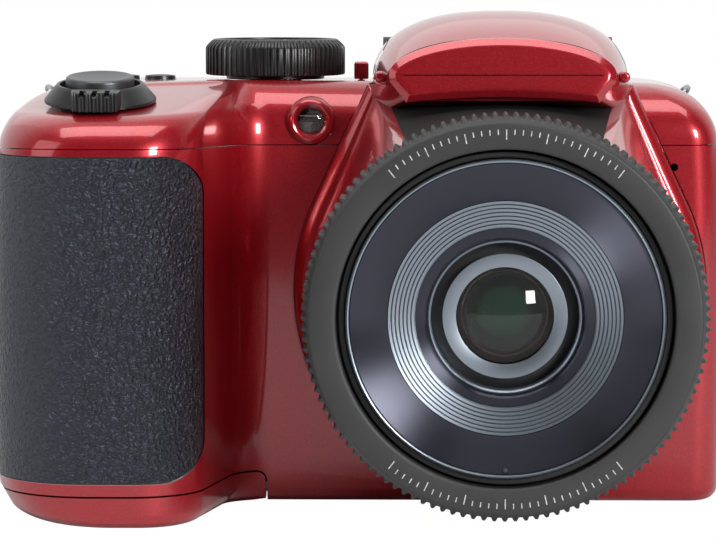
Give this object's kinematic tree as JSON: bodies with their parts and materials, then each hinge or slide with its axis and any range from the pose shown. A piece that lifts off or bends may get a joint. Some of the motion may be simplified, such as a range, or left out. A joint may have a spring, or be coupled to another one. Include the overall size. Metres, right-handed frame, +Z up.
{
  "type": "bridge camera",
  "caption": "Bridge camera with a deep rubber-covered grip, a telescoping zoom lens, a mode dial, a pop-up flash over the lens, and a hinged battery door.",
  "frame": {"origin": "mouth of the tripod socket in the base, straight under the lens axis", "axes": "+X towards the side away from the grip, +Y to the rear, +Z up; the lens looks along -Y"},
  "size_m": [0.1186, 0.0844, 0.0812],
  "materials": {
    "red_paint": "gloss paint with metal flake",
    "grip_rubber": "moulded grain",
    "black_plastic": "matt",
    "grey_plastic": "satin",
    "gloss_cone": "spun gloss",
    "satin_metal": "satin",
    "steel": "brushed",
    "brass": "machined",
    "optical_glass": "coated",
    "clear_plastic": "clear",
    "screen_glass": "dark gloss",
    "circuit_board": "solder mask",
    "cell_can": "printed sleeve"
  },
  "bodies": {
    "camera_body": {"front_cover": "red_paint", "rear_cover": "red_paint", "top_cover": "red_paint", "grip_rubber": "grip_rubber", "thumb_rest": "grip_rubber", "flash_brackets": "black_plastic", "lens_tube": "black_plastic", "shutter_sleeve": "black_plastic", "dial_bushing": "black_plastic", "battery_holder": "black_plastic", "flash_capacitor": "black_plastic", "lens_ring": "grey_plastic", "lens_base": "grey_plastic", "door_hinge_base": "steel", "door_hinge_pin": "steel", "flash_hinge_pin": "steel", "zoom_motor": "steel", "focus_rods": "steel", "card_slot": "steel", "usb_socket": "steel", "strap_lugs": "steel", "cell_contacts": "brass", "tripod_nut": "brass", "focus_lamp": "clear_plastic", "screen_window": "screen_glass", "main_board": "circuit_board", "key_board": "circuit_board", "image_sensor": "circuit_board", "screen_panel": "circuit_board", "battery_cells": "cell_can"},
    "battery_door": {"battery_door": "red_paint", "door_hinge_leaf": "steel"},
    "battery_latch": {"battery_latch": "grey_plastic"},
    "flash_head": {"flash_cover": "red_paint", "flash_frame": "black_plastic", "flash_reflector": "steel", "flash_window": "clear_plastic"},
    "flash_switch": {"flash_switch": "red_paint"},
    "cam_ring": {"cam_ring": "grey_plastic"},
    "zoom_pinion": {"zoom_pinion": "brass"},
    "mid_barrel": {"mid_barrel": "black_plastic", "zoom_lens": "optical_glass"},
    "front_barrel": {"front_barrel": "grey_plastic", "front_cone": "gloss_cone", "inner_ring": "satin_metal", "silver_ring": "satin_metal", "front_lens": "optical_glass"},
    "focus_carriage": {"focus_carriage": "black_plastic", "focus_lens": "optical_glass"},
    "zoom_lever": {"zoom_lever": "grey_plastic"},
    "shutter_button": {"shutter_button": "satin_metal"},
    "mode_dial": {"mode_dial": "grey_plastic"},
    "power_button": {"power_button": "grey_plastic"},
    "burst_button": {"burst_button": "grey_plastic"},
    "movie_button": {"movie_button": "grey_plastic"},
    "menu_button": {"menu_button": "grey_plastic"},
    "play_button": {"play_button": "grey_plastic"},
    "four_way_pad": {"four_way_pad": "grey_plastic"},
    "set_button": {"set_button": "grey_plastic"},
    "port_cover": {"port_cover": "grip_rubber"}
  },
  "joints": [
    {"name": "battery_door_swing", "type": "hinge", "parent": "camera_body", "child": "battery_door", "pos_m": [-0.0397, 0, 0.0011], "axis": [0, -1, 0], "range_deg": [0, 100]},
    {"name": "battery_latch_slide", "type": "slide", "parent": "battery_door", "child": "battery_latch", "axis": [-1, 0, 0], "range_m": [0, 0.0025], "stiffness_N_per_m": 150},
    {"name": "flash_lift", "type": "hinge", "parent": "camera_body", "child": "flash_head", "pos_m": [0, 0.009, 0.0732], "axis": [-1, 0, 0], "range_deg": [0, 35]},
    {"name": "flash_switch_slide", "type": "slide", "parent": "camera_body", "child": "flash_switch", "axis": [0, 1, 0], "range_m": [0, 0.002], "stiffness_N_per_m": 300},
    {"name": "mid_barrel_slide", "type": "slide", "parent": "camera_body", "child": "mid_barrel", "axis": [0, -1, 0], "range_m": [0, 0.022]},
    {"name": "front_barrel_slide", "type": "slide", "parent": "mid_barrel", "child": "front_barrel", "axis": [0, -1, 0], "range_m": [0, 0.0201]},
    {"name": "cam_ring_turn", "type": "hinge", "parent": "camera_body", "child": "cam_ring", "pos_m": [0, -0.009, 0.0352], "axis": [0, -1, 0], "range_deg": [0, 100.5]},
    {"name": "zoom_pinion_turn", "type": "hinge", "parent": "camera_body", "child": "zoom_pinion", "pos_m": [-0.02188, -0.009, 0.05786], "axis": [0, -1, 0], "range_deg": [-603, 0]},
    {"name": "focus_slide", "type": "slide", "parent": "camera_body", "child": "focus_carriage", "axis": [0, -1, 0], "range_m": [-0.003, 0.005]},
    {"name": "zoom_lever_turn", "type": "hinge", "parent": "camera_body", "child": "zoom_lever", "pos_m": [-0.0644, -0.03, 0.06667], "axis": [0, -0.1392, 0.9903], "range_deg": [-20, 20], "stiffness_Nm_per_rad": 0.02},
    {"name": "shutter_button_press", "type": "slide", "parent": "camera_body", "child": "shutter_button", "axis": [0, 0.1392, -0.9903], "range_m": [0, 0.0012], "stiffness_N_per_m": 1000},
    {"name": "mode_dial_turn", "type": "hinge", "parent": "camera_body", "child": "mode_dial", "pos_m": [-0.0377, 0.003, 0.0692], "axis": [0, 0, 1], "continuous": true},
    {"name": "power_button_press", "type": "slide", "parent": "camera_body", "child": "power_button", "axis": [0, 0, -1], "range_m": [0, 0.0008], "stiffness_N_per_m": 1200},
    {"name": "burst_button_press", "type": "slide", "parent": "camera_body", "child": "burst_button", "axis": [0, 0, -1], "range_m": [0, 0.0008], "stiffness_N_per_m": 1200},
    {"name": "movie_button_press", "type": "slide", "parent": "camera_body", "child": "movie_button", "axis": [0, -1, 0], "range_m": [0, 0.0008], "stiffness_N_per_m": 1200},
    {"name": "menu_button_press", "type": "slide", "parent": "camera_body", "child": "menu_button", "axis": [0, -1, 0], "range_m": [0, 0.0008], "stiffness_N_per_m": 1200},
    {"name": "play_button_press", "type": "slide", "parent": "camera_body", "child": "play_button", "axis": [0, -1, 0], "range_m": [0, 0.0008], "stiffness_N_per_m": 1200},
    {"name": "four_way_pad_tilt", "type": "hinge", "parent": "camera_body", "child": "four_way_pad", "pos_m": [-0.059, 0.02, 0.026], "axis": [1, 0, 0], "range_deg": [-3, 3], "stiffness_Nm_per_rad": 0.2},
    {"name": "set_button_press", "type": "slide", "parent": "camera_body", "child": "set_button", "axis": [0, -1, 0], "range_m": [0, 0.0006], "stiffness_N_per_m": 1200},
    {"name": "port_cover_swing", "type": "hinge", "parent": "camera_body", "child": "port_cover", "pos_m": [0.03685, 0.004, 0.032], "axis": [0, 0, 1], "range_deg": [0, 110]}
  ],
  "couplings": [
    {"joint": "front_barrel_slide", "follows": "mid_barrel_slide", "ratio": 0.90909},
    {"joint": "cam_ring_turn", "follows": "mid_barrel_slide", "rad_per_m": 79.333},
    {"joint": "zoom_pinion_turn", "follows": "mid_barrel_slide", "rad_per_m": -476}
  ]
}
